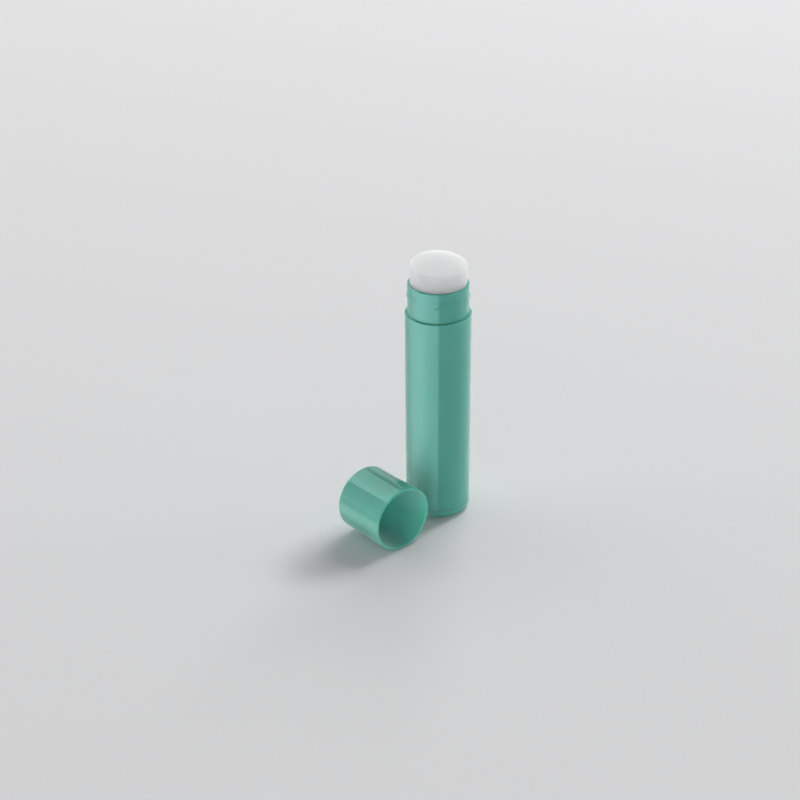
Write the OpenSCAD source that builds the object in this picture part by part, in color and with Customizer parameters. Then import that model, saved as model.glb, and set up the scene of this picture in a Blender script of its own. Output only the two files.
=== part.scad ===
// Lip balm stick with a twist-up base, standing open with its cap lying beside it.
// Z is the axis of the barrel, and the origin is the centre of the face that it stands on.
// The cap lies on its side with its axis along Y and its open end towards -Y.
// Turning the dial by a positive angle about Z raises the balm through a left-hand screw.

/* [Barrel] */
// Outer diameter of the barrel at the shoulder, and of the cap
barrel_d = 16; // [14:0.1:24]
// How much smaller the diameter is at the table than at the shoulder
foot_taper = 0.24; // [0:0.02:0.6]
// Height of the shoulder, which the cap's rim meets, above the table
shoulder_h = 53; // [40:0.5:90]
// Rounding of the shoulder's outer edge
shoulder_round = 0.15; // [0.05:0.05:0.4]

/* [Neck] */
// Height of the neck above the shoulder
neck_h = 7.6; // [6:0.1:12]
// Width of the shoulder, from the barrel's outer wall in to the neck
shoulder_w = 0.61; // [0.5:0.01:1]
// Wall of the neck, from its outer face in to the bore
neck_wall = 0.54; // [0.45:0.01:0.8]
// Rounding of the neck's outer rim, and chamfer of its inner rim
rim_round = 0.14; // [0.05:0.01:0.2]
// How far the snap beads stand out of the neck
bead_rise = 0.15; // [0.05:0.01:0.25]
// Height of the beads' feet above the shoulder
bead_up = 3.65; // [2:0.05:4.5]
// Height of a bead, from its foot to the end of its lead-in slope
bead_h = 1.9; // [1.4:0.1:2.4]
// Height of the slope under a bead's crest
bead_under = 0.75; // [0.2:0.05:0.9]
// Height of the flat crest of a bead
bead_crest = 0.2; // [0.1:0.05:0.5]
// Angle that each bead spans
bead_span = 59; // [30:1:80]
// Angle of the first bead's middle about Z
bead_turn = 68; // [0:1:89]
// Number of beads round the neck
bead_count = 4; // [2:1:4]

/* [Keyways] */
// Number of keyways in the bore, and of keys on the carrier
key_count = 4; // [2:1:6]
// Width of a keyway
key_w = 1.3; // [1:0.1:2]
// Depth of a keyway in the wall
key_deep = 0.47; // [0.3:0.01:0.6]

/* [Dial] */
// Height of the seam between the dial and the barrel above the table
dial_h = 2.4; // [2:0.1:6]
// Radius of the rounded foot
foot_round = 1.75; // [1:0.05:1.9]
// Depth of the shallow recess under the dial
recess_deep = 0.4; // [0.2:0.1:0.6]
// Width of the ring that the stick stands on
foot_ring_w = 1.3; // [0.8:0.1:2]
// Thickness of the dial's floor over the recess
dial_floor = 1.2; // [0.8:0.1:1.6]
// Height of the hub above the seam
hub_h = 4.2; // [3.4:0.1:6]
// Wall of the hub
hub_wall = 0.9; // [0.7:0.1:1.4]
// How far the hub's snap ring stands out into the barrel's groove
snap_rise = 0.24; // [0.1:0.02:0.35]
// Height of the snap ring's middle above the seam
snap_up = 2.2; // [1.6:0.1:2.4]
// Height of the snap ring
snap_h = 1; // [0.8:0.1:1.2]
// Number of ribs inside the hub
rib_count = 6; // [3:1:8]
// Thickness of the ribs and fins inside the dial and the carrier
rib_w = 0.7; // [0.5:0.1:1]

/* [Screw] */
// Lead of the screw, which is how far one turn moves the balm
screw_lead = 4; // [3:0.1:6]
// Diameter of the screw at the root of its thread
screw_root_d = 3.4; // [2.8:0.1:4]
// Radial depth of the thread
thread_deep = 0.7; // [0.4:0.05:0.9]
// Width of the thread at its crest
crest_w = 1.1; // [0.6:0.1:1.4]
// Width of the thread at its root
thread_root_w = 1.9; // [1.5:0.1:2]
// Thickness of the collar that seats on the dial's boss
collar_t = 0.8; // [0.6:0.1:1.2]
// Side of the square peg pressed into the boss
peg_w = 3; // [2:0.1:3.4]
// Wall of the boss outside the peg's corners
boss_wall = 0.8; // [0.6:0.1:1.2]
// Height of the boss above the seam
boss_up = 2.2; // [1.4:0.1:3]

/* [Carrier] */
// Height of the skirt and the nut below the carrier's floor
skirt_h = 6; // [5:0.1:8]
// Thickness of the carrier's floor
carrier_floor = 1.2; // [0.8:0.1:2]
// Height of the cup that holds the balm
cup_h = 5.5; // [4:0.1:7]
// Wall of the cup and the skirt
cup_wall = 0.57; // [0.4:0.01:0.9]
// Wall of the nut outside the thread
nut_wall = 1.3; // [0.8:0.1:2]
// Height of the wiping rings at the two ends of the carrier
wiper_h = 0.7; // [0.4:0.1:1.2]
// Length of the keys that run in the keyways
key_l = 3.5; // [2:0.1:4.5]
// Height of the fins that keep the balm from turning in the cup
fin_h = 3.6; // [1:0.1:4.5]
// How far the fins stand in from the cup's wall
fin_w = 1.3; // [0.5:0.1:2]
// How far the cup's rim stays below the neck's rim when the balm is fully out
lip_left = 0.9; // [0.3:0.1:2]
// How far the carrier stays above the hub when the balm is fully in
low_left = 0.4; // [0.2:0.1:1]

/* [Balm] */
// How far the middle of the balm stands out of the neck in the pose that is drawn
balm_out = 5; // [1:0.1:6]
// How far the middle of the balm lies below the neck's rim when it is fully in
balm_in = 1.2; // [0.8:0.1:2]
// Rounding of the balm's top edge
balm_round = 0.6; // [0.4:0.1:1.5]
// Rise of the balm's crown from its rounded edge to its middle
crown = 0.15; // [0.1:0.05:0.8]
// Slant of the balm's top face
balm_slant = 5.3; // [0:0.1:7]
// Angle about Z of the direction in which the top face rises
slant_turn = 68; // [0:1:359]

/* [Cap] */
// Length of the cap
cap_l = 15; // [12.5:0.1:22]
// Thickness of the cap's closed end
cap_end = 1.1; // [0.8:0.1:1.6]
// Rounding of the closed end's outer edge
cap_round = 1; // [0.5:0.1:1.6]
// Rounding of the corner inside the closed end
cap_inner_round = 0.8; // [0.3:0.1:1.2]
// Rounding of the two edges of the open rim
lip_round = 0.2; // [0.04:0.01:0.22]
// Space between the barrel and the cap that lies beside it
cap_beside = 4.1; // [1:0.1:20]
// How far the cap's open rim lies in front of the barrel's axis
cap_forward = 10.1; // [0:0.1:20]

/* [Fits] */
// Gap at the seam between the dial and the barrel
seam_gap = 0.06; // [0.04:0.01:0.2]
// Radial gap of the hub in the bore
hub_gap = 0.05; // [0.02:0.01:0.1]
// Gap round the snap ring in its groove
snap_gap = 0.12; // [0.08:0.01:0.2]
// Radial gap of the wiping rings in the bore
wiper_gap = 0.05; // [0.02:0.01:0.1]
// Radial gap of the balm in the bore
balm_gap = 0.07; // [0.04:0.01:0.1]
// Gap round each key in its keyway
key_gap = 0.1; // [0.05:0.01:0.15]
// Gap on the flanks, the crest and the root of the thread
thread_gap = 0.12; // [0.08:0.01:0.2]
// Gap between the screw and the core of the balm
core_gap = 0.35; // [0.2:0.05:0.6]
// Radial gap of the cap over the neck, which the beads bridge
cap_gap = 0.07; // [0.04:0.01:0.12]
// Gap on each side of the peg in its socket
peg_gap = 0.01; // [0.01:0.01:0.03]

/* [Hidden] */
$fn = 96;

MINT = "#6FB3A4";
NATURAL = "#E9EAE4";
WAX = "#EDEBE6";

// Straight steps in a quarter round, and flat sides in one turn of the thread
ROUND_STEPS = 10;
THREAD_SIDES = 24;
// Angle from level at which the round of the balm's top edge gives way to a straight slope
EDGE_SLOPE = 60;
// How far a shape runs into the one that it is joined to, or past the one that it cuts
BITE = 0.25;
// How far a bead's slopes run inside the neck's wall before they end
BEAD_SUNK = 0.03;
// Chamfer of the edges that lead the hub into the bore
entry = 0.2;
// Plain stretch of the screw below and above its thread, and length of its pointed tip
thread_land = 0.3;
tip_h = 1;
// Space left under the end of the peg
peg_left = 0.2;
// How far the wiping rings stand out from the carrier's wall
wiper_rise = 0.08;

shoulder_r = barrel_d / 2;
neck_r = shoulder_r - shoulder_w;
bore_r = neck_r - neck_wall;
neck_top = shoulder_h + neck_h;
key_r = bore_r + key_deep;

hub_r = bore_r - hub_gap;
hub_in_r = hub_r - hub_wall;
hub_top = dial_h + hub_h;
snap_z = dial_h + snap_up;
groove_deep = snap_rise - hub_gap + snap_gap;
groove_h = snap_h + 2 * snap_gap;
dial_floor_top = recess_deep + dial_floor;
boss_r = peg_w / sqrt(2) + boss_wall;
boss_top = dial_h + boss_up;

root_r = screw_root_d / 2;
crest_r = root_r + thread_deep;
nut_r = crest_r + thread_gap + nut_wall;

carrier_h = skirt_h + carrier_floor + cup_h;
carrier_z = hub_top + low_left + balm_out + balm_in;
travel_up = neck_top - lip_left - carrier_h - carrier_z;
travel_down = balm_out + balm_in;
carrier_r = bore_r - wiper_gap;
cup_r = carrier_r - wiper_rise;
cup_in_r = cup_r - cup_wall;
balm_z = carrier_z + skirt_h + carrier_floor;
cup_top = balm_z + cup_h;
keyway_top = carrier_z + travel_up + key_l + 2 * key_gap;

screw_z = boss_top + collar_t;
screw_top = carrier_z + travel_up + skirt_h;
thread_first = screw_z + thread_land + thread_root_w / 2;
balm_r = bore_r - balm_gap;
balm_top = neck_top + balm_out;
core_r = crest_r + core_gap;
core_wall_top = screw_top + thread_land + travel_down + core_gap;

cap_r = shoulder_r;
cap_in_r = neck_r + cap_gap;

echo(travel_down = travel_down, travel_up = travel_up);
echo(dial_down_deg = 360 * travel_down / screw_lead, dial_up_deg = 360 * travel_up / screw_lead);

// Points of an arc about [x, y] from angle a to angle b
function arc(x, y, r, a, b) =
    [for (i = [0:ROUND_STEPS]) let (t = a + (b - a) * i / ROUND_STEPS) [x + r * cos(t), y + r * sin(t)]];

// Radius of the tapered outer wall at height z
function wall_r(z) = shoulder_r - foot_taper / 2 * (shoulder_h - z) / shoulder_h;

module revolve(outline) {
    rotate_extrude() polygon(outline);
}

module around(count, turn = 0) {
    for (i = [0:count - 1]) rotate([0, 0, turn + 360 * i / count]) children();
}

// Two triangles on four corners
function quad(a, b, c, d) = [[a, b, c], [a, c, d]];

// Triangles from one point to each step of a row of points
function fan(a, row) = [for (i = [0:len(row) - 2]) [a, row[i], row[i + 1]]];

// A left-hand threaded rod in one closed skin, from z = bottom to z = top.
// Each section has four points: root, crest, crest and root. The land between two turns joins
// a section to the one a turn later, and the thread fades into the root at both ends.
module threaded_rod(root, crest, root_w, top_w, first, last, bottom, top) {
    n = THREAD_SIDES;
    end = last - n;
    low = 4 * (last + 1);
    high = low + n;
    function fade(i) = min(1, 4 * i / n, 4 * (last - i) / n);
    function at(i, r, z) = let (t = 360 * i / n) [r * cos(t), r * sin(t), z];
    function section(i) = let (z = first + screw_lead * i / n, r = root + (crest - root) * fade(i)) [
        at(i, root, z - root_w / 2),
        at(i, r, z - top_w / 2),
        at(i, r, z + top_w / 2),
        at(i, root, z + root_w / 2)
    ];
    function p(i, k) = 4 * i + k;
    function lo(i) = low + i % n;
    function hi(i) = high + i % n;
    points = concat(
        [for (i = [0:last]) each section(i)],
        [for (i = [0:n - 1]) at(i, root, bottom)],
        [for (i = [0:n - 1]) at(i, root, top)]
    );
    low_seam = [p(n, 0), p(0, 3), p(0, 2), p(0, 1), p(0, 0), lo(0), lo(n - 1)];
    high_seam = [p(end, 3), p(last, 0), p(last, 1), p(last, 2), p(last, 3), hi(end), hi(end + 1)];
    faces = concat(
        [for (i = [0:last - 1], k = [0:2]) each quad(p(i, k), p(i, k + 1), p(i + 1, k + 1), p(i + 1, k))],
        [for (i = [0:end - 1]) each quad(p(i, 3), p(i + n, 0), p(i + n + 1, 0), p(i + 1, 3))],
        [for (i = [0:n - 2]) each quad(lo(i), p(i, 0), p(i + 1, 0), lo(i + 1))],
        fan(p(n - 1, 0), low_seam),
        [for (i = [end + 1:last - 1]) each quad(p(i, 3), hi(i), hi(i + 1), p(i + 1, 3))],
        fan(p(end + 1, 3), high_seam),
        [[for (i = [0:n - 1]) lo(i)]],
        [[for (i = [n - 1:-1:0]) hi(i)]]
    );
    mirror([0, 1, 0]) polyhedron(points, faces, convexity = 10);
}

// One bead: a slope up to a short crest, and a longer slope that leads the cap on
module bead() {
    z = shoulder_h + bead_up;
    slope_start = z - bead_under * BEAD_SUNK / bead_rise;
    crest_top = z + bead_under + bead_crest;
    slope_end = z + bead_h + (z + bead_h - crest_top) * BEAD_SUNK / bead_rise;
    rotate([0, 0, -bead_span / 2]) rotate_extrude(angle = bead_span) polygon([
        [neck_r - BITE, slope_start],
        [neck_r - BEAD_SUNK, slope_start],
        [neck_r + bead_rise, z + bead_under],
        [neck_r + bead_rise, crest_top],
        [neck_r - BEAD_SUNK, slope_end],
        [neck_r - BITE, slope_end]
    ]);
}

module barrel() {
    low = dial_h + seam_gap;
    color(MINT) difference() {
        union() {
            revolve(concat(
                [[bore_r + entry, low], [wall_r(low), low]],
                arc(shoulder_r - shoulder_round, shoulder_h - shoulder_round, shoulder_round, 0, 90),
                [[neck_r, shoulder_h]],
                arc(neck_r - rim_round, neck_top - rim_round, rim_round, 0, 90),
                [
                    [bore_r + rim_round, neck_top],
                    [bore_r, neck_top - rim_round],
                    [bore_r, snap_z + groove_h / 2],
                    [bore_r + groove_deep, snap_z + groove_h / 2 - groove_deep],
                    [bore_r + groove_deep, snap_z - groove_h / 2 + groove_deep],
                    [bore_r, snap_z - groove_h / 2],
                    [bore_r, low + entry]
                ]
            ));
            around(bead_count, bead_turn) bead();
        }
        around(key_count) translate([0, -key_w / 2, low - BITE])
            cube([key_r, key_w, keyway_top - low + BITE]);
    }
}

module dial() {
    ring_in = wall_r(foot_round) - foot_round - foot_ring_w;
    socket_w = peg_w + 2 * peg_gap;
    rib_h = boss_top - rib_w - dial_floor_top;
    color(MINT) difference() {
        union() {
            revolve(concat(
                [[0, recess_deep], [ring_in - recess_deep, recess_deep], [ring_in, 0]],
                arc(wall_r(foot_round) - foot_round, foot_round, foot_round, -90, 0),
                [
                    [wall_r(dial_h), dial_h],
                    [hub_r, dial_h],
                    [hub_r, snap_z - snap_h / 2],
                    [hub_r + snap_rise, snap_z - snap_h / 2 + snap_rise],
                    [hub_r + snap_rise, snap_z + snap_h / 2 - snap_rise],
                    [hub_r, snap_z + snap_h / 2],
                    [hub_r, hub_top - entry],
                    [hub_r - entry, hub_top],
                    [hub_in_r, hub_top],
                    [hub_in_r, dial_floor_top],
                    [boss_r, dial_floor_top],
                    [boss_r, boss_top],
                    [0, boss_top]
                ]
            ));
            around(rib_count) translate([boss_r - BITE, -rib_w / 2, dial_floor_top - BITE])
                cube([hub_in_r - boss_r + 2 * BITE, rib_w, rib_h + BITE]);
        }
        translate([-socket_w / 2, -socket_w / 2, dial_floor_top]) cube([socket_w, socket_w, boss_top]);
    }
}

module spindle() {
    last = floor((screw_top - thread_root_w / 2 - thread_first) / screw_lead * THREAD_SIDES);
    peg_h = boss_top - dial_floor_top - peg_left;
    color(NATURAL) {
        threaded_rod(
            root_r,
            crest_r,
            thread_root_w,
            crest_w,
            thread_first,
            last,
            screw_z - BITE,
            screw_top + thread_land
        );
        translate([0, 0, boss_top]) cylinder(r = boss_r - entry, h = collar_t);
        translate([-peg_w / 2, -peg_w / 2, boss_top - peg_h]) cube([peg_w, peg_w, peg_h + BITE]);
        translate([0, 0, screw_top + thread_land - BITE])
            cylinder(r1 = root_r - BITE / 2, r2 = root_r / 2, h = tip_h);
    }
}

// Fins that stand inward from the cup's wall
module fins() {
    around(key_count, 180 / key_count) translate([cup_in_r - fin_w, -rib_w / 2, balm_z - BITE])
        cube([fin_w + BITE, rib_w, fin_h + BITE]);
}

module carrier() {
    z = carrier_z;
    floor_z = z + skirt_h;
    turns_below = floor((z - thread_first) / screw_lead) - 2;
    turns_cut = ceil((skirt_h + carrier_floor) / screw_lead) + 4;
    cut_z = thread_first + turns_below * screw_lead;
    color(NATURAL) difference() {
        union() {
            revolve([
                [0, z],
                [nut_r, z],
                [nut_r, floor_z],
                [cup_in_r, floor_z],
                [cup_in_r, z],
                [carrier_r - wiper_rise, z],
                [carrier_r, z + wiper_rise],
                [carrier_r, z + wiper_h],
                [cup_r, z + wiper_h + wiper_rise],
                [cup_r, cup_top - wiper_h - wiper_rise],
                [carrier_r, cup_top - wiper_h],
                [carrier_r, cup_top],
                [cup_in_r, cup_top],
                [cup_in_r, balm_z],
                [0, balm_z]
            ]);
            around(key_count) translate([nut_r - BITE, -rib_w / 2, z + key_l])
                cube([cup_in_r - nut_r + 2 * BITE, rib_w, skirt_h - key_l + BITE]);
            around(key_count) translate([cup_in_r + BITE / 2, key_gap - key_w / 2, z])
                cube([key_r - key_gap - cup_in_r - BITE / 2, key_w - 2 * key_gap, key_l]);
            fins();
        }
        threaded_rod(
            root_r + thread_gap,
            crest_r + thread_gap,
            thread_root_w + 2 * thread_gap,
            crest_w + 2 * thread_gap,
            cut_z,
            turns_cut * THREAD_SIDES,
            cut_z - screw_lead,
            cut_z + (turns_cut + 1) * screw_lead
        );
    }
}

// All the space under the balm's top face, which is crowned, rounded at its edge and slanted
module under_balm_top() {
    shoulder = balm_r - balm_round;
    low = balm_z - balm_top - balm_r;
    edge = arc(shoulder, -crown - balm_round, balm_round, 90 - EDGE_SLOPE, 90);
    low_r = edge[0][0] + (edge[0][1] - low) / tan(EDGE_SLOPE);
    translate([0, 0, balm_top]) rotate([0, -balm_slant, slant_turn]) revolve(concat(
        [[0, low], [low_r, low]],
        edge,
        [for (i = [1:ROUND_STEPS]) let (r = shoulder * (1 - i / ROUND_STEPS))
            [r, -crown * pow(r / shoulder, 2)]]
    ));
}

module balm() {
    color(WAX) difference() {
        intersection() {
            revolve([
                [core_r, balm_z],
                [cup_in_r, balm_z],
                [cup_in_r, cup_top],
                [balm_r, cup_top],
                [balm_r, balm_top + barrel_d],
                [0, balm_top + barrel_d],
                [0, core_wall_top + core_r / 2],
                [core_r, core_wall_top]
            ]);
            under_balm_top();
        }
        fins();
    }
}

module cap() {
    inner_end = cap_l - cap_end;
    color(MINT) translate([-(barrel_d + cap_beside), -cap_forward, cap_r]) rotate([-90, 0, 0]) revolve(concat(
        arc(cap_in_r + lip_round, lip_round, lip_round, 180, 270),
        arc(cap_r - lip_round, lip_round, lip_round, -90, 0),
        arc(cap_r - cap_round, cap_l - cap_round, cap_round, 0, 90),
        [[0, cap_l], [0, inner_end]],
        arc(cap_in_r - cap_inner_round, inner_end - cap_inner_round, cap_inner_round, 90, 0)
    ));
}

barrel();
dial();
spindle();
carrier();
balm();
cap();
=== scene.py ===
"""Lip balm stick, standing open with its cap beside it: fine surfaces, finishes, light and camera.

The barrel, dial, balm and cap are turned again here as fine grids. The screw and the carrier, which
are inside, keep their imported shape.
"""
import math

import bmesh
import bpy
import numpy as np
from mathutils import Matrix, Vector


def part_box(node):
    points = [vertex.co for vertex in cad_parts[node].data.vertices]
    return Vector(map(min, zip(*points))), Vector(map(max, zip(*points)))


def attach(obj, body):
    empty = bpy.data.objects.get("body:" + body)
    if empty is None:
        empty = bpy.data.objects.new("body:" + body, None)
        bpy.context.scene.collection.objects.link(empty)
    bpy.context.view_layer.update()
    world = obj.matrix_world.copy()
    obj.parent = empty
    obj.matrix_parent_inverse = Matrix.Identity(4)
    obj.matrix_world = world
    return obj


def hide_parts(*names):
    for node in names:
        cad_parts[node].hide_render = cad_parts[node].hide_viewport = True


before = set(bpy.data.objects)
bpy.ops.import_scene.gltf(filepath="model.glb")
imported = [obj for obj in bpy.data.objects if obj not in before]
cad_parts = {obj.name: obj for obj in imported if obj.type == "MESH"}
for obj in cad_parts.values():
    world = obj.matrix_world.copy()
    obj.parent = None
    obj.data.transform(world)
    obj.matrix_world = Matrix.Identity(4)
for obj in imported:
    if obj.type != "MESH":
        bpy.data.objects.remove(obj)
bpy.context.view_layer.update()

MM = 0.001

# Barrel. This and the next sizes are in millimetres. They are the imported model's, apart from the
# rounds at the rim, the corner and the seam, the soft bead ends, BALM_R, BALM_TOP and CAP_R, which
# differ by up to 0.15.
SHOULDER_R = 8.0
FOOT_TAPER = 0.12
SHOULDER_H = 53.0
SHOULDER_ROUND = 0.15
NECK_R = 7.39
NECK_TOP = 60.6
BORE_R = 6.85
RIM_ROUND = 0.26
CORNER_ROUND = 0.15
RIM_IN_ROUND = 0.02

# Snap beads
BEAD_RISE = 0.15
BEAD_FOOT = 56.65
BEAD_UNDER = 0.75
BEAD_CREST = 0.2
BEAD_END = 58.55
BEAD_SPAN = 59.0
BEAD_TURN = 68.0
BEAD_COUNT = 4
BEAD_SOFT = 0.04
BEAD_END_SOFT = 4.0

# Keyways in the bore, and the groove for the dial
KEY_COUNT = 4
KEY_HALF = 0.65
KEY_R = 7.32
KEYWAY_TOP = 50.7
SNAP_Z = 4.6
GROOVE_HALF = 0.62
GROOVE_DEEP = 0.31
ENTRY = 0.2

# Dial, and the seam above its foot
SEAM_Z = 2.4
SEAM_GAP = 0.06
SEAM_ROUND = 0.01
FOOT_ROUND = 1.75
FOOT_RING_W = 1.3
RECESS_DEEP = 0.4
HUB_R = 6.8
HUB_IN_R = 5.9
HUB_TOP = 6.6
SNAP_HALF = 0.5
SNAP_RISE = 0.24
DIAL_FLOOR = 1.6
BOSS_R = 2.92
BOSS_TOP = 4.6
SOCKET_HALF = 1.51
RIB_COUNT = 6
RIB_HALF = 0.35
RIB_TOP = 3.9

# Balm
BALM_R = 6.845
BALM_Z = 20.4
BALM_TOP = 65.59
BALM_ROUND = 0.6
CROWN = 0.15
SLANT = 5.3
SLANT_TURN = 68.0
SLANT_FROM = 58.0
CORE_R = 2.75
CORE_WALL_TOP = 59.85
CUP_IN_R = 6.15
CUP_TOP = 25.9
FIN_COUNT = 4
FIN_TOP = 24.0
FIN_R = 4.85

# Cap
CAP_R = 7.997
CAP_IN_R = 7.46
CAP_L = 15.0
CAP_END = 1.1
CAP_ROUND = 1.0
CAP_INNER_ROUND = 0.8
LIP_ROUND = 0.2
END_RISE = 20

# Points in a round edge, columns round a turned piece, columns in a slot, rows on the crown and in
# a bead's end, samples of a bead's soft corner, how near an edge a row holds a flat, and the angle
# from which an edge is drawn sharp
ROUND_STEPS = 10
TURNS = 288
SLOT_STEPS = 6
CROWN_ROWS = 40
BEAD_END_ROWS = 7
BEAD_BLUR = 5
HOLD = 0.02
SHARP = math.radians(32)

# Longest steps between the rows of straight stretches, from plain walls down to the beads
WALL_STEP = 1.5
FACE_STEP = 0.7
UNDER_STEP = 0.6
BALM_STEP = 0.5
NECK_STEP = 0.4
EDGE_STEP = 0.3
ABOVE_BEAD_STEP = 0.25
LEDGE_STEP = 0.2
BEAD_STEP = 0.04

# Radius of the first ring round the middle of the underside and of the cap's end
POLE_R = 0.5
CAP_POLE_R = 0.3

# Radii that differ by less than SAME millimetres are one. Points that lie closer than MERGE metres
# become one, and edges shorter than SHORT metres go.
SAME = 1e-6
MERGE = 2e-7
SHORT = 1e-8

# Camera: where it stands in metres, where it looks in degrees, its lens and sensor in millimetres,
# and the nearest distance that it sees, in metres
CAMERA_AT = (-0.26281, -0.29486, 0.23848)
CAMERA_HEADING = 40.37
CAMERA_DOWN = 27.913
CAMERA_ROLL = -0.446
LENS = 82.73
SENSOR = 36
NEAREST = 0.01

# Studio. Azimuths are in degrees from the camera's side of the stick to the right, elevations in
# degrees above the table, distances and sizes in metres, powers in watts.
# Lights: name, azimuth, elevation, width, height, power
LIGHT_FAR = 2.5
LIGHTS = [
    ("key", 134, 58, 0.3, 0.3, 18.0),
    ("back", 160, 41, 1.2, 0.9, 18.5),
    ("right", 122, 9, 3.0, 0.8, 22.0),
    ("left", -118, 12, 3.0, 1.0, 22.0),
    ("front", -10, 8, 3.0, 0.8, 10.5),
]

# Reflectors: the same, and the strength at the left, right, bottom and top
REFLECTOR_FAR = 3.0
REFLECTORS = [
    ("reflector", -146, 42, 2.8, 1.9, 70.0, (0.4, 1.0, 1.0, 1.0)),
    ("low_reflector", -100, 20, 1.6, 2.4, 28.0, (1.0, 1.0, 0.85, 0.7)),
]

# What the camera sees of the world
BACKDROP = 0.68

# What reflections see below the horizon: pairs of an azimuth and a strength. LOW_MOST is above the
# largest strength, since the stops of a colour ramp end at 1.
LOW_STOPS = [
    (-180, 0.7), (-144, 0.7), (-120, 1.1), (-105, 2.4), (-90, 3.6), (-60, 5.4), (-30, 4.3), (-14, 3.9),
    (-1.5, 3.8), (0.5, 1.1), (30, 0.9), (60, 0.8), (90, 1.0), (120, 1.1), (144, 1.0), (180, 0.8),
]
LOW_MOST = 6.5

# Floor, and the patch of it that reflections see: its size, its height above the floor, the line
# between the stick and the cap that it fades away from, where the fade starts and ends, and how
# clear it is at the start
FLOOR_SIZE = 3.0
PATCH_SIZE = 0.16
PATCH_HEIGHT = 1e-5
PATCH_LEFT, PATCH_RIGHT, PATCH_Y = -0.02, 0.0, -0.002
PATCH_FULL, PATCH_GONE = 0.004, 0.03
PATCH_CLEAR = 0.35


def arc(x, y, radius, start, end):
    """Points of an arc: (x + radius cos t, y + radius sin t) for t from start to end in degrees."""
    t = np.radians(np.linspace(start, end, ROUND_STEPS + 1))
    return np.column_stack([x + radius * np.cos(t), y + radius * np.sin(t)])


def run(a, b, step):
    """Points on the line from a to b, at most step apart, with one held close to each end."""
    a, b = np.array(a, float), np.array(b, float)
    length = np.hypot(*(b - a))
    inner = np.linspace(HOLD, length - HOLD, max(2, math.ceil(length / step)))
    share = np.concatenate([[0], inner, [length]]) / length
    return a + share[:, None] * (b - a)


def outline(*stretches):
    """One chain of (radius, height) rows out of points and stretches of points."""
    return np.vstack([np.atleast_2d(np.array(s, float)) for s in stretches])


class Slots:
    """Straight-walled slots, spaced evenly round an axis. near is the least radius that they reach."""

    def __init__(self, count, half, near, turn=0.0):
        self.count, self.half, self.near, self.turn = count, half, near, turn

    def columns(self, turns, extra):
        """(centre, share, inside) of each column: its angle is centre + share * asin(half / radius)."""
        pitch = 360 / self.count
        wide = math.degrees(math.asin(self.half / self.near))
        free = np.linspace(wide, pitch - wide, turns // self.count)[1:-1]
        free = np.unique(np.concatenate([free, [e for e in extra if wide < e < pitch - wide]]))
        shares = np.linspace(-1, 1, SLOT_STEPS + 1)
        share = np.concatenate([[-1], shares, [1], np.zeros(len(free))])
        inside = np.concatenate([[False], np.ones(len(shares), bool), [False], np.zeros(len(free), bool)])
        centre = np.concatenate([np.zeros(len(shares) + 2), free])
        starts = self.turn + pitch * np.arange(self.count)
        return (
            (starts[:, None] + centre).ravel(),
            np.tile(share, self.count),
            np.tile(inside, self.count),
        )


def turned(name, plain, slotted=None, slots=None, extra=(), shape=None, closed=False, place=None):
    """A piece turned about Z, in millimetres.

    Row i and column j meet at (R cos A, R sin A, Z). R and Z are row i of the plain outline, or of the
    slotted one inside a slot; A is the column's centre plus, beside a slot, its share of
    asin(half width / R), so that the slot's walls are straight. shape(R, Z, A) gives beads, flats or
    a slant.
    """
    if slots is None:
        centre = np.linspace(0, 360, TURNS, endpoint=False)
        share, inside = np.zeros(TURNS), np.zeros(TURNS, bool)
        slotted, half, near = plain, 0.0, 1.0
    else:
        centre, share, inside = slots.columns(TURNS, extra)
        half, near = slots.half, slots.near
    radius = np.where(inside, slotted[:, :1], plain[:, :1])
    height = np.where(inside, slotted[:, 1:], plain[:, 1:])
    angle = np.radians(centre) + share * np.arcsin(half / np.maximum(radius, near))
    if shape is not None:
        radius, height = shape(radius, height, angle)
    points = np.stack([radius * np.cos(angle), radius * np.sin(angle), height], -1)
    if place is not None:
        points = place(points)
    rows, cols = radius.shape
    i = np.arange(rows if closed else rows - 1)[:, None]
    j = np.arange(cols)[None, :]
    below, above = i * cols, (i + 1) % rows * cols
    beside = (j + 1) % cols
    faces = np.stack([below + j, below + beside, above + beside, above + j], -1).reshape(-1, 4)
    return solid(name, points.reshape(-1, 3) * MM, faces)


def solid(name, points, faces):
    """A mesh object from arrays of points and four-cornered faces, merged, closed and facing outward."""
    mesh = bpy.data.meshes.new(name)
    mesh.from_pydata(points.tolist(), [], faces.tolist())
    work = bmesh.new()
    work.from_mesh(mesh)
    bmesh.ops.remove_doubles(work, verts=work.verts, dist=MERGE)
    bmesh.ops.dissolve_degenerate(work, edges=work.edges, dist=SHORT)
    bmesh.ops.recalc_face_normals(work, faces=work.faces)
    work.to_mesh(mesh)
    work.free()
    mesh.polygons.foreach_set("use_smooth", np.ones(len(mesh.polygons), bool))
    mesh.set_sharp_from_angle(angle=SHARP)
    piece = bpy.data.objects.new(name, mesh)
    bpy.context.scene.collection.objects.link(piece)
    return piece


def wall_r(z):
    """Radius of the tapered outer wall at height z."""
    return SHOULDER_R - FOOT_TAPER * (SHOULDER_H - z) / SHOULDER_H


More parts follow.
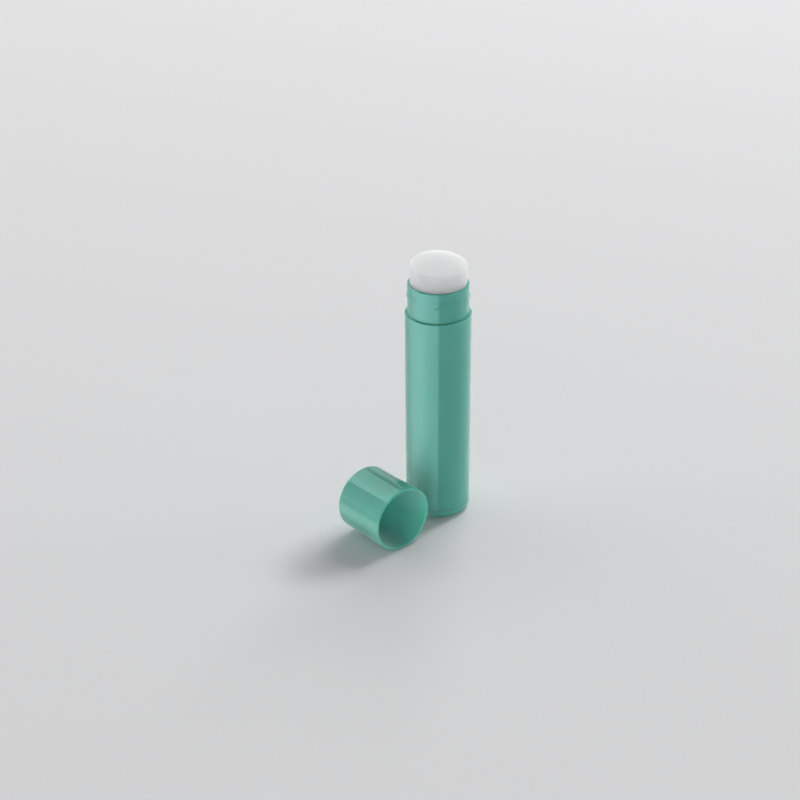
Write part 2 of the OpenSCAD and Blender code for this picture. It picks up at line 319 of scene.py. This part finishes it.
def beads(radius, height, angle):
    """The neck with its snap beads.

    A bead's outline is a slope, a flat crest and a longer slope, averaged over a short height so that
    its corners are soft, times a window that falls smoothly to nothing at the bead's two ends.
    """
    crest = BEAD_FOOT + BEAD_UNDER
    heights = [BEAD_FOOT, crest, crest + BEAD_CREST, BEAD_END]
    offsets = np.linspace(-BEAD_SOFT, BEAD_SOFT, BEAD_BLUR)
    rises = [np.interp(height + o, heights, [0, BEAD_RISE, BEAD_RISE, 0]) for o in offsets]
    rise = sum(rises) / len(rises)
    pitch = 360 / BEAD_COUNT
    from_middle = np.abs((np.degrees(angle) - BEAD_TURN + pitch / 2) % pitch - pitch / 2)
    edge = np.clip((BEAD_SPAN / 2 - from_middle) / BEAD_END_SOFT, 0, 1)
    window = edge * edge * (3 - 2 * edge)
    on_neck = np.isclose(radius, NECK_R, rtol=0, atol=SAME)
    return radius + np.where(on_neck, rise * window, 0), height


def make_barrel():
    """The barrel: tapered wall, shoulder, beaded neck, and a bore with keyways and the dial's groove."""
    low = SEAM_Z + SEAM_GAP
    edge = wall_r(low) - SEAM_ROUND
    rim = NECK_TOP - RIM_ROUND
    corner = SHOULDER_H + CORNER_ROUND
    dense = np.concatenate([
        np.arange(corner + HOLD, BEAD_FOOT - 2 * BEAD_SOFT - HOLD, NECK_STEP),
        np.arange(BEAD_FOOT - 2 * BEAD_SOFT, BEAD_END + 2 * BEAD_SOFT, BEAD_STEP),
        np.arange(BEAD_END + LEDGE_STEP, rim - HOLD, ABOVE_BEAD_STEP),
        [rim - HOLD],
    ])
    outer = outline(
        run((BORE_R + ENTRY, low), (edge, low), EDGE_STEP),
        arc(edge, low + SEAM_ROUND, SEAM_ROUND, -90, 0),
        run((wall_r(low), low + SEAM_ROUND), (SHOULDER_R, SHOULDER_H - SHOULDER_ROUND), WALL_STEP),
        arc(SHOULDER_R - SHOULDER_ROUND, SHOULDER_H - SHOULDER_ROUND, SHOULDER_ROUND, 0, 90),
        run((SHOULDER_R - SHOULDER_ROUND, SHOULDER_H), (NECK_R + CORNER_ROUND, SHOULDER_H), LEDGE_STEP),
        arc(NECK_R + CORNER_ROUND, corner, CORNER_ROUND, 270, 180),
        np.column_stack([np.full(len(dense), NECK_R), dense]),
        arc(NECK_R - RIM_ROUND, rim, RIM_ROUND, 0, 90),
        arc(BORE_R + RIM_IN_ROUND, NECK_TOP - RIM_IN_ROUND, RIM_IN_ROUND, 90, 180),
    )
    groove_top, groove_low = SNAP_Z + GROOVE_HALF, SNAP_Z - GROOVE_HALF
    bore = outline(
        run((BORE_R, NECK_TOP - RIM_IN_ROUND), (BORE_R, KEYWAY_TOP), WALL_STEP),
        run((BORE_R, KEYWAY_TOP), (BORE_R, groove_top), WALL_STEP),
        (BORE_R + GROOVE_DEEP, groove_top - GROOVE_DEEP),
        (BORE_R + GROOVE_DEEP, groove_low + GROOVE_DEEP),
        (BORE_R, groove_low),
        (BORE_R, low + ENTRY),
        (BORE_R + ENTRY, low),
    )
    # Inside a keyway the bore is wider from the second row at the keyways' top down, and the lower
    # face starts at the keyway's floor
    keyed = bore.copy()
    in_keyway = np.arange(len(bore)) > np.argmax(bore[:, 1] <= KEYWAY_TOP)
    keyed[in_keyway, 0] = KEY_R
    outer_keyed = outer.copy()
    outer_keyed[0, 0] = KEY_R
    # Columns at the beads' fading ends
    ends = np.array([BEAD_TURN - BEAD_SPAN / 2, BEAD_TURN + BEAD_SPAN / 2])
    inward = np.array([1, -1])[:, None] * np.linspace(0, BEAD_END_SOFT, BEAD_END_ROWS)
    extra = ((ends[:, None] + inward) % (360 / BEAD_COUNT)).ravel()
    return turned(
        "barrel_shell",
        np.vstack([outer, bore]),
        np.vstack([outer_keyed, keyed]),
        Slots(KEY_COUNT, KEY_HALF, BORE_R),
        extra=extra,
        shape=beads,
        closed=True,
    )


def square_socket(radius, height, angle):
    """The boss with its square socket: R is half the side over the larger of |cos A| and |sin A|."""
    square = SOCKET_HALF / np.maximum(np.abs(np.cos(angle)), np.abs(np.sin(angle)))
    return np.where(radius == SOCKET_HALF, square, radius), height


def make_dial():
    """The dial: recessed underside, rounded foot, snap hub, ribs and the boss with its square socket."""
    ring_in = wall_r(FOOT_ROUND) - FOOT_ROUND - FOOT_RING_W
    foot_x = wall_r(FOOT_ROUND) - FOOT_ROUND
    snap = HUB_R + SNAP_RISE
    outer = outline(
        (0, RECESS_DEEP),
        run((POLE_R, RECESS_DEEP), (ring_in - RECESS_DEEP, RECESS_DEEP), UNDER_STEP),
        run((ring_in - RECESS_DEEP, RECESS_DEEP), (ring_in, 0), EDGE_STEP),
        run((ring_in, 0), (foot_x, 0), NECK_STEP),
        arc(foot_x, FOOT_ROUND, FOOT_ROUND, -90, 0)[1:],
        run((wall_r(FOOT_ROUND), FOOT_ROUND), (wall_r(SEAM_Z), SEAM_Z - SEAM_ROUND), EDGE_STEP),
        arc(wall_r(SEAM_Z) - SEAM_ROUND, SEAM_Z - SEAM_ROUND, SEAM_ROUND, 0, 90),
        (HUB_R, SEAM_Z),
        (HUB_R, SNAP_Z - SNAP_HALF),
        (snap, SNAP_Z - SNAP_HALF + SNAP_RISE),
        (snap, SNAP_Z + SNAP_HALF - SNAP_RISE),
        (HUB_R, SNAP_Z + SNAP_HALF),
        (HUB_R, HUB_TOP - ENTRY),
        (HUB_R - ENTRY, HUB_TOP),
        (HUB_IN_R, HUB_TOP),
    )
    well = outline(
        (HUB_IN_R, RIB_TOP),
        (HUB_IN_R, DIAL_FLOOR),
        (BOSS_R, DIAL_FLOOR),
        (BOSS_R, RIB_TOP),
    )
    boss = outline(
        (BOSS_R, BOSS_TOP),
        (SOCKET_HALF, BOSS_TOP),
        (SOCKET_HALF, DIAL_FLOOR),
        (0, DIAL_FLOOR),
    )
    ribbed = well.copy()
    ribbed[:, 1] = RIB_TOP
    socket_corners = [corner % (360 / RIB_COUNT) for corner in (45, 135)]
    return turned(
        "dial_foot",
        np.vstack([outer, well, boss]),
        np.vstack([outer, ribbed, boss]),
        Slots(RIB_COUNT, RIB_HALF, BOSS_R),
        extra=socket_corners,
        shape=square_socket,
    )


def slanted_top(radius, height, angle):
    """The balm with its slanted top: Z gains sin(slant) * R cos(A - direction), eased in up the wall."""
    share = np.clip((height - SLANT_FROM) / (BALM_TOP - CROWN - BALM_ROUND - SLANT_FROM), 0, 1)
    on_skin = (radius > CORE_R) | (height > CORE_WALL_TOP + CORE_R)
    rise = np.sin(np.radians(SLANT)) * radius * np.cos(angle - np.radians(SLANT_TURN))
    return radius, height + np.where(on_skin, rise * share, 0)


def make_balm():
    """The balm: cast round the screw, slotted by the cup's fins, with a rounded, crowned, slanted top."""
    shoulder = BALM_R - BALM_ROUND
    edge_z = BALM_TOP - CROWN - BALM_ROUND
    across = np.linspace(1, 0, CROWN_ROWS)
    crown = np.column_stack([shoulder * across, BALM_TOP - CROWN * across**2])
    core = outline(
        (0, CORE_WALL_TOP + CORE_R / 2),
        run((CORE_R, CORE_WALL_TOP), (CORE_R, BALM_Z), WALL_STEP),
    )
    root = outline((CUP_IN_R, BALM_Z), (CUP_IN_R, FIN_TOP))
    slotted = root.copy()
    slotted[:, 0] = FIN_R
    body = outline(
        run((CUP_IN_R, FIN_TOP), (CUP_IN_R, CUP_TOP), FACE_STEP),
        run((CUP_IN_R, CUP_TOP), (BALM_R, CUP_TOP), LEDGE_STEP),
        run((BALM_R, CUP_TOP), (BALM_R, edge_z), BALM_STEP),
        arc(shoulder, edge_z, BALM_ROUND, 0, 90),
        crown[1:],
    )
    return turned(
        "balm_stick",
        np.vstack([core, root, body]),
        np.vstack([core, slotted, body]),
        Slots(FIN_COUNT, RIB_HALF, FIN_R, 180 / FIN_COUNT),
        shape=slanted_top,
    )


def make_cap():
    """The cap on its side: turned about its own axis, then laid along Y with its open end towards -Y."""
    inner_end = CAP_L - CAP_END
    low, high = (np.array(corner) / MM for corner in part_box("cap"))
    axis_x = (low[0] + high[0]) / 2

    def lay(points):
        """The points with the axis turned from Z to Y, and the wall resting on the table."""
        x, y, z = np.moveaxis(points, -1, 0)
        return np.stack([axis_x + x, low[1] + z, CAP_R - y], -1)

    return turned(
        "cap_shell",
        outline(
            arc(CAP_IN_R + LIP_ROUND, LIP_ROUND, LIP_ROUND, 180, 270),
            arc(CAP_R - LIP_ROUND, LIP_ROUND, LIP_ROUND, -90, 0),
            run((CAP_R, LIP_ROUND), (CAP_R, CAP_L - CAP_ROUND), FACE_STEP),
            arc(CAP_R - CAP_ROUND, CAP_L - CAP_ROUND, CAP_ROUND, 0, 90),
            run((CAP_R - CAP_ROUND, CAP_L), (CAP_POLE_R, CAP_L), FACE_STEP),
            (0, CAP_L),
            (0, inner_end),
            run((CAP_POLE_R, inner_end), (CAP_IN_R - CAP_INNER_ROUND, inner_end), FACE_STEP),
            arc(CAP_IN_R - CAP_INNER_ROUND, inner_end - CAP_INNER_ROUND, CAP_INNER_ROUND, 90, 0),
            run((CAP_IN_R, inner_end - CAP_INNER_ROUND), (CAP_IN_R, LIP_ROUND), FACE_STEP),
        ),
        place=lay,
    )


class Wire:
    """One output of a shader tree. Its operators add Math nodes to the tree."""

    def __init__(self, shader, socket):
        self.shader, self.socket = shader, socket

    def math(self, operation, *others):
        """A Math node of this value and the others."""
        return self.shader.node("ShaderNodeMath", {"operation": operation}, [self, *others])

    def __add__(self, other):
        return self.math("ADD", other)

    def __mul__(self, other):
        return self.math("MULTIPLY", other)

    def __sub__(self, other):
        return self.math("SUBTRACT", other)

    def __rsub__(self, other):
        return self.shader.node("ShaderNodeMath", {"operation": "SUBTRACT"}, [other, self])

    __radd__, __rmul__ = __add__, __mul__

    def ramp(self, low, high, bottom=0.0, top=1.0):
        """A smooth step from bottom to top as the value goes from low to high."""
        settings = {"interpolation_type": "SMOOTHSTEP"}
        return self.shader.node("ShaderNodeMapRange", settings, [self, low, high, bottom, top])


class Shader:
    """The node tree of a material or a world."""

    def __init__(self, owner):
        owner.use_nodes = True
        self.owner, self.tree = owner, owner.node_tree
        self.tree.nodes.clear()

    def node(self, kind, settings=None, inputs=(), output=0):
        """Adds one node. Settings come first, then the inputs, in order or by name; returns one output."""
        made = self.tree.nodes.new(kind)
        for name, value in (settings or {}).items():
            if name == "stops":
                self.set_stops(made.color_ramp, value)
            else:
                setattr(made, name, value)
        pairs = inputs.items() if isinstance(inputs, dict) else enumerate(inputs)
        for name, value in pairs:
            if isinstance(value, Wire):
                self.tree.links.new(value.socket, made.inputs[name])
            elif value is not None:
                made.inputs[name].default_value = value
        return Wire(self, made.outputs[output]) if made.outputs else None

    @staticmethod
    def set_stops(ramp, stops):
        """Sets a colour ramp to these (position, colour) stops."""
        while len(ramp.elements) < len(stops):
            ramp.elements.new(0.5)
        for element, (position, colour) in zip(ramp.elements, stops):
            element.position = position
            element.color = colour

    def noise(self, scale, detail=2.0, roughness=0.5, stretch=(1, 1, 1)):
        """Noise on Object coordinates; scale is in features a metre."""
        where = self.node("ShaderNodeTexCoord", output="Object")
        moved = self.node("ShaderNodeMapping", {}, {"Vector": where, "Scale": stretch})
        inputs = {"Vector": moved, "Scale": scale, "Detail": detail, "Roughness": roughness}
        return self.node("ShaderNodeTexNoise", {"normalize": True}, inputs, "Fac")

    def mix(self, share, one, two):
        """A colour between two colours."""
        made = self.tree.nodes.new("ShaderNodeMix")
        made.data_type = "RGBA"
        for name, value in (("Factor_Float", share), ("A_Color", one), ("B_Color", two)):
            socket = next(s for s in made.inputs if s.identifier == name)
            if isinstance(value, Wire):
                self.tree.links.new(value.socket, socket)
            else:
                socket.default_value = value
        return Wire(self, next(s for s in made.outputs if s.identifier == "Result_Color"))

    def within_cap(self):
        """Distance from the cap's axis in metres, raised at the closed end so that it counts as outside.

        It is sqrt(across^2 + up^2), plus END_RISE times how far a place lies past the middle of the
        cap's end wall.
        """
        low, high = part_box("cap")
        place = self.node("ShaderNodeTexCoord", output="Object")
        x, y, z = (self.node("ShaderNodeSeparateXYZ", {}, [place], i) for i in range(3))
        across, up = x - (low[0] + high[0]) / 2, z - CAP_R * MM
        past = y - (high[1] - CAP_END * MM / 2)
        return (across * across + up * up).math("SQRT") + past.math("MAXIMUM", 0.0) * END_RISE

    def bump(self, height, distance):
        """A normal bumped by height; distance is the bump's depth in metres."""
        return self.node("ShaderNodeBump", {}, {"Strength": 1.0, "Distance": distance, "Height": height})

    def finish(self, **sockets):
        """Ends the tree in a Principled surface with these sockets."""
        names = {name.replace("_", " ").title().replace("Ior", "IOR"): v for name, v in sockets.items()}
        surface = self.node("ShaderNodeBsdfPrincipled", {}, names)
        self.node("ShaderNodeOutputMaterial", {}, {"Surface": surface})
        return self.owner


def colour(red, green, blue):
    """An opaque colour from linear values."""
    return (red, green, blue, 1.0)


def mint_plastic():
    """Glossy mint polypropylene with faint flow shading and orange peel. Inside the cap it is dull, and
    its paler colour there is painted light that brightens the cap's shaded interior.
    """
    s = Shader(bpy.data.materials.new("mint_plastic"))
    flow = s.noise(110, 3.0, 0.55, (1, 1, 0.25))
    cloud = s.noise(38, 2.0)
    tone = flow * 0.5 + cloud * 0.5
    # The inside colour is paler than the outside: painted light that brightens the shaded inside of the
    # cap, where the outside mask is 0
    deep, light, inside = colour(0.118, 0.44, 0.365), colour(0.128, 0.465, 0.385), colour(0.23, 0.56, 0.51)
    outside = s.within_cap().ramp(CAP_IN_R * MM, (CAP_IN_R + LIP_ROUND / 2) * MM)
    base = s.mix(outside, inside, s.mix(tone.ramp(0.3, 0.7), deep, light))
    peel = s.noise(2300, 2.0, 0.5)
    ripple = s.noise(260, 2.0, 0.5, (1, 1, 0.4))
    normal = s.bump(peel + ripple * 5.0, 1.2e-6)
    dull, glossy = 0.42, 0.06
    roughness = dull - outside * (dull - glossy) + flow * 0.03 + peel * 0.02
    return s.finish(
        base_color=base,
        roughness=roughness,
        ior=1.5,
        specular_tint=colour(0.52, 1.0, 0.92),
        subsurface_weight=1.0,
        subsurface_radius=(0.3, 1.0, 0.8),
        subsurface_scale=0.002,
        normal=normal,
    )


def natural_plastic():
    """Uncoloured polypropylene: milky, with faint flow lines."""
    s = Shader(bpy.data.materials.new("natural_plastic"))
    flow = s.noise(240, 3.0, 0.6, (1, 1, 0.2))
    deep, light = colour(0.78, 0.79, 0.75), colour(0.86, 0.87, 0.84)
    peel = s.noise(1800, 2.0)
    return s.finish(
        base_color=s.mix(flow.ramp(0.3, 0.7), deep, light),
        roughness=0.32 + flow * 0.1,
        ior=1.5,
        normal=s.bump(peel, 3e-6),
    )


def balm_wax():
    """Poured wax: milky and slightly translucent, with soft mottling and a faintly uneven skin."""
    s = Shader(bpy.data.materials.new("balm_wax"))
    mottle = s.noise(420, 4.0, 0.6)
    cloud = s.noise(130, 2.0, 0.5)
    tone = mottle * 0.4 + cloud * 0.6
    deep, light = colour(0.78, 0.79, 0.795), colour(0.82, 0.83, 0.835)
    skin = s.noise(900, 3.0, 0.55)
    dents = s.noise(190, 2.0, 0.5)
    return s.finish(
        base_color=s.mix(tone.ramp(0.3, 0.7), deep, light),
        roughness=0.42 + mottle * 0.12,
        ior=1.45,
        subsurface_weight=1.0,
        subsurface_radius=(1.0, 0.95, 0.95),
        subsurface_scale=0.006,
        normal=s.bump(skin + dents * 4.0, 8e-6),
    )


def dress(piece, body, nodes, material):
    """Gives a new piece its finish and its place among the bodies."""
    piece.data.materials.append(material)
    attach(piece, body)
    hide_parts(*nodes)


def make_camera():
    """The camera at the photograph's angle."""
    data = bpy.data.cameras.new("camera")
    data.lens = LENS
    data.sensor_width = SENSOR
    data.clip_start = NEAREST
    camera = bpy.data.objects.new("camera", data)
    turn = Matrix.Rotation(-math.radians(CAMERA_HEADING), 4, "Z")
    tilt = Matrix.Rotation(math.radians(90 - CAMERA_DOWN), 4, "X")
    roll = Matrix.Rotation(math.radians(CAMERA_ROLL), 4, "Z")
    camera.matrix_world = Matrix.Translation(CAMERA_AT) @ turn @ tilt @ roll
    bpy.context.scene.collection.objects.link(camera)
    bpy.context.scene.camera = camera


def studio_direction(azimuth, elevation):
    """Unit vector for an azimuth from the camera's side of the object, to the right, and an elevation."""
    a, e = math.radians(azimuth), math.radians(elevation)
    h = math.radians(CAMERA_HEADING)
    right, front = math.sin(a) * math.cos(e), math.cos(a) * math.cos(e)
    return Vector((
        right * math.cos(h) - front * math.sin(h),
        -right * math.sin(h) - front * math.cos(h),
        math.sin(e),
    ))


def soft_light(name, azimuth, elevation, wide, tall, power, shine=None):
    """A soft box that faces the stick.

    It lights the scene and isn't reflected, unless shine gives its strength at the left, right, bottom
    and top. Then it is only reflected.
    """
    data = bpy.data.lights.new(name, "AREA")
    data.shape = "RECTANGLE"
    data.size, data.size_y = wide, tall
    data.energy = power
    light = bpy.data.objects.new(name, data)
    light.visible_glossy = shine is not None
    light.visible_diffuse = light.visible_transmission = shine is None
    if shine is not None:
        left, right, bottom, top = shine
        f = Shader(data)
        place = f.node("ShaderNodeNewGeometry", output="Parametric")
        across = f.node("ShaderNodeSeparateXYZ", {}, [place], 0)
        up = f.node("ShaderNodeSeparateXYZ", {}, [place], 1)
        strength = across.ramp(0, 1, left, right) * up.ramp(0, 1, bottom, top)
        glow = f.node("ShaderNodeEmission", {}, {"Strength": strength})
        f.node("ShaderNodeOutputLight", {}, {"Surface": glow})
    way = studio_direction(azimuth, elevation)
    light.location = way * (LIGHT_FAR if shine is None else REFLECTOR_FAR)
    light.rotation_euler = way.to_track_quat("Z", "Y").to_euler()
    bpy.context.scene.collection.objects.link(light)


def floor_paint():
    """Matt pale paint with a fine grain."""
    s = Shader(bpy.data.materials.new("floor"))
    grain = s.noise(900, 2.0)
    tone = s.mix(grain, colour(0.79, 0.79, 0.80), colour(0.81, 0.81, 0.82))
    return s.finish(base_color=tone, roughness=0.9)


def patch_paint():
    """Pale paint that turns clear with the distance from the line between the stick and the cap.

    The distance is sqrt(across^2 + along^2), where across is how far x lies beyond the line's ends and
    along is how far y lies beside it.
    """
    f = Shader(bpy.data.materials.new("near_floor"))
    place = f.node("ShaderNodeTexCoord", output="Object")
    x, y = (f.node("ShaderNodeSeparateXYZ", {}, [place], i) for i in range(2))
    across = x - x.math("MAXIMUM", PATCH_LEFT).math("MINIMUM", PATCH_RIGHT)
    along = y - PATCH_Y
    away = (across * across + along * along).math("SQRT")
    clearness = away.ramp(PATCH_FULL, PATCH_GONE, PATCH_CLEAR, 1.0)
    paint = f.node("ShaderNodeBsdfDiffuse", {}, {"Color": colour(0.85, 0.85, 0.855)})
    clear = f.node("ShaderNodeBsdfTransparent")
    surface = f.node("ShaderNodeMixShader", {}, [clearness, paint, clear])
    f.node("ShaderNodeOutputMaterial", {}, {"Surface": surface})
    return f.owner


def make_sheet(name, size, height, paint):
    """A square of the floor, centred on the stick."""
    half = size / 2
    corners = [(x * half, y * half, height) for x, y in ((-1, -1), (1, -1), (1, 1), (-1, 1))]
    mesh = bpy.data.meshes.new(name)
    mesh.from_pydata(corners, [], [(0, 1, 2, 3)])
    floor = bpy.data.objects.new(name, mesh)
    bpy.context.scene.collection.objects.link(floor)
    mesh.materials.append(paint)
    return floor


def make_floor():
    """A wide pale floor that reflections don't see, and a patch of it that only they see."""
    wide = make_sheet("floor", FLOOR_SIZE, 0.0, floor_paint())
    wide.visible_glossy = False
    near = make_sheet("near_floor", PATCH_SIZE, PATCH_HEIGHT, patch_paint())
    near.visible_camera = near.visible_diffuse = False
    near.visible_shadow = near.visible_transmission = False


def make_world():
    """Soft studio surroundings, by the direction that a ray leaves in.

    The azimuth is arctan2(right, front) and the elevation is arcsin(up). Above the horizon a dim dome
    ends near the top and a brighter band stands behind. Below it, where only reflections look, the
    strength follows LOW_STOPS, so that a pale card fills the left side and ends in a straight edge in
    front. The card fades downwards, towards the horizon and, a little, beside the cap.
    """
    w = Shader(bpy.data.worlds.new("studio"))
    bpy.context.scene.world = w.owner
    way = w.node("ShaderNodeTexCoord", output="Generated")

    def along(direction):
        return w.node("ShaderNodeVectorMath", {"operation": "DOT_PRODUCT"}, [way, direction], "Value")

    right, front, up = along(studio_direction(90, 0)), along(studio_direction(0, 0)), along((0, 0, 1))
    azimuth = right.math("ARCTAN2", front) * math.degrees(1)
    elevation = up.math("ARCSINE") * math.degrees(1)
    stops = [((a + 180) / 360, colour(*[v / LOW_MOST] * 3)) for a, v in LOW_STOPS]
    low = w.node("ShaderNodeValToRGB", {"stops": stops}, [(azimuth + 180) * (1 / 360)])
    low = w.node("ShaderNodeSeparateColor", {}, [low], 0) * LOW_MOST
    # A ramp gives the two angles that it runs between, then its strengths there
    card_foot = elevation.ramp(-52, -34, azimuth.ramp(-40, 0, 0.8, 0.1), 1.0)
    beside_cap = azimuth.ramp(-112, -100) * azimuth.ramp(-74, -84) * elevation.ramp(-24, -8, 0.0, 0.4)
    card_head = elevation.ramp(-10, 0, 1.0, 0.5)
    low = low * card_foot * (1.0 - beside_cap) * card_head
    dome = elevation.ramp(46, 62, 0.38, 0.0)
    behind = azimuth.math("ABSOLUTE").ramp(140, 165) * elevation.ramp(36, 16)
    high = dome + behind * elevation.ramp(0, 14, 0.35, 0.8)
    glow = w.node("ShaderNodeMix", {"data_type": "FLOAT"}, [elevation.ramp(-0.5, 0.5), None, low, high])
    seen = w.node("ShaderNodeLightPath", output="Is Camera Ray")
    glow = w.node("ShaderNodeMix", {"data_type": "FLOAT"}, [seen, None, glow, BACKDROP])
    light = w.node("ShaderNodeBackground", {}, {"Strength": glow, "Color": colour(1, 1, 1)})
    w.node("ShaderNodeOutputWorld", {}, {"Surface": light})


make_camera()
make_floor()
make_world()
for light in LIGHTS + REFLECTORS:
    soft_light(*light)

mint = mint_plastic()
natural = natural_plastic()
wax = balm_wax()
dress(make_barrel(), "barrel", ["barrel"], mint)
dress(make_dial(), "dial_and_screw", ["dial"], mint)
dress(make_balm(), "carrier_and_balm", ["balm"], wax)
cap = make_cap()
cap.visible_glossy = False
dress(cap, "cap", ["cap"], mint)
for node in ("spindle", "carrier"):
    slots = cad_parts[node].material_slots
    for slot in slots:
        slot.material = natural

bpy.context.scene.view_settings.view_transform = "Standard"
